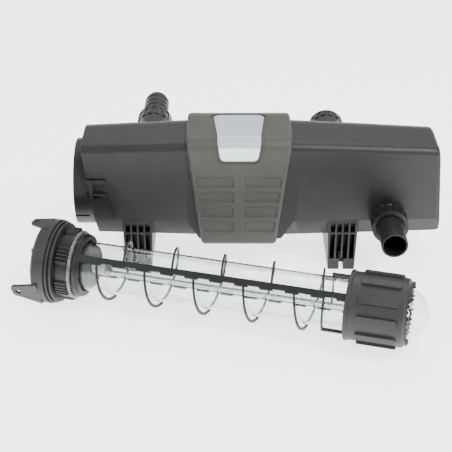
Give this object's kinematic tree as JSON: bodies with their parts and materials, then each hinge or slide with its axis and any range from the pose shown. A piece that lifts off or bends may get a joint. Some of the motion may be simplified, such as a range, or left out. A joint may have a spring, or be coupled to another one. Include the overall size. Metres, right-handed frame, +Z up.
{
  "type": "pond uv clarifier",
  "caption": "Two-shell pond UV clarifier on ribbed feet, with hose unions; its lamp unit with glass sleeve, ribbed cleaning rotor and turbine lies drawn out in front.",
  "frame": {"origin": "middle of the left foot's underside, on the ground", "axes": "+X along the housing from its open end to its closed end, +Y towards the back, +Z up"},
  "size_m": [0.6368, 0.5138, 0.225],
  "materials": {
    "charcoal": "satin moulded plastic",
    "charcoal_dark": "satin moulded plastic",
    "stone_grey": "fine-grained moulded plastic",
    "silver": "satin silver lacquer",
    "rubber": "matte",
    "silicone": "translucent soft silicone",
    "quartz": "clear polished quartz glass",
    "socket_grey": "matte",
    "ceramic_white": "gloss white moulding",
    "board_green": "lacquered circuit board",
    "steel": "bright"
  },
  "bodies": {
    "housing": {"left_shell": "charcoal", "right_shell": "charcoal", "seam_gasket": "rubber", "saddle_cover": "stone_grey", "badge_plate": "silver", "left_foot": "charcoal", "right_foot": "charcoal"},
    "latch": {"head_latch": "charcoal"},
    "outlet_pipe": {"outlet_tail": "charcoal", "outlet_seal": "rubber"},
    "outlet_union": {"outlet_nut": "charcoal"},
    "inlet_pipe": {"inlet_tail": "charcoal", "inlet_seal": "rubber"},
    "inlet_union": {"inlet_nut": "charcoal"},
    "spare_stopper": {"spare_plug": "charcoal_dark", "spare_seal": "rubber"},
    "spare_union": {"spare_nut": "charcoal"},
    "lamp_unit": {"head_body": "charcoal", "head_cover": "charcoal_dark", "cover_screw_1": "steel", "cover_screw_2": "steel", "cover_screw_3": "steel", "cover_screw_4": "steel", "flange_seal": "rubber", "head_o_ring": "rubber", "glass_seal": "silicone", "quartz_sleeve": "quartz", "lamp_holder": "socket_grey", "lamp_base": "ceramic_white", "uv_lamp": "quartz", "control_board": "board_green"},
    "sleeve_clamp": {"clamp_ring": "charcoal_dark"},
    "cleaning_rotor": {"rotor_end_ring": "charcoal_dark", "rotor_bar_front": "charcoal_dark", "rotor_bar_rear": "charcoal_dark", "cleaning_rib_1": "charcoal", "cleaning_rib_2": "charcoal", "cleaning_rib_3": "charcoal", "cleaning_rib_4": "charcoal", "cleaning_rib_5": "charcoal", "turbine_link_front": "charcoal", "turbine_link_rear": "charcoal", "turbine_wheel": "charcoal"}
  },
  "joints": [
    {"name": "lamp_unit_lift", "type": "slide", "parent": "housing", "child": "lamp_unit", "axis": [0, 0, 1], "range_m": [0, 0.2]},
    {"name": "rotor_spin", "type": "hinge", "parent": "lamp_unit", "child": "cleaning_rotor", "pos_m": [-0.1287, -0.1408, 0.0625], "axis": [0.9646, -0.2639, 0], "continuous": true},
    {"name": "clamp_turn", "type": "hinge", "parent": "lamp_unit", "child": "sleeve_clamp", "pos_m": [-0.1287, -0.1408, 0.0625], "axis": [0.9646, -0.2639, 0], "range_deg": [0, 40]},
    {"name": "latch_flex", "type": "hinge", "parent": "housing", "child": "latch", "pos_m": [-0.045, -0.06894, 0.142], "axis": [0, 0, 1], "range_deg": [0, 12], "stiffness_Nm_per_rad": 0.05},
    {"name": "outlet_pull", "type": "slide", "parent": "housing", "child": "outlet_pipe", "axis": [0, -1, 0], "range_m": [0, 0.012]},
    {"name": "outlet_nut_turn", "type": "hinge", "parent": "outlet_pipe", "child": "outlet_union", "pos_m": [0.379, -0.07, 0.093], "axis": [0, -1, 0], "range_deg": [0, 1080]},
    {"name": "inlet_pull", "type": "slide", "parent": "housing", "child": "inlet_pipe", "axis": [0, 1, 0], "range_m": [0, 0.012]},
    {"name": "inlet_nut_turn", "type": "hinge", "parent": "inlet_pipe", "child": "inlet_union", "pos_m": [0.02, 0.07, 0.17], "axis": [0, 1, 0], "range_deg": [0, 1080]},
    {"name": "spare_pull", "type": "slide", "parent": "housing", "child": "spare_stopper", "axis": [0, 1, 0], "range_m": [0, 0.004]},
    {"name": "spare_nut_turn", "type": "hinge", "parent": "spare_stopper", "child": "spare_union", "pos_m": [0.293, 0.07, 0.17], "axis": [0, 1, 0], "range_deg": [0, 360]}
  ],
  "couplings": [
    {"joint": "outlet_pull", "follows": "outlet_nut_turn", "m_per_rad": 0.000636},
    {"joint": "inlet_pull", "follows": "inlet_nut_turn", "m_per_rad": 0.000636},
    {"joint": "spare_pull", "follows": "spare_nut_turn", "m_per_rad": 0.000636}
  ]
}
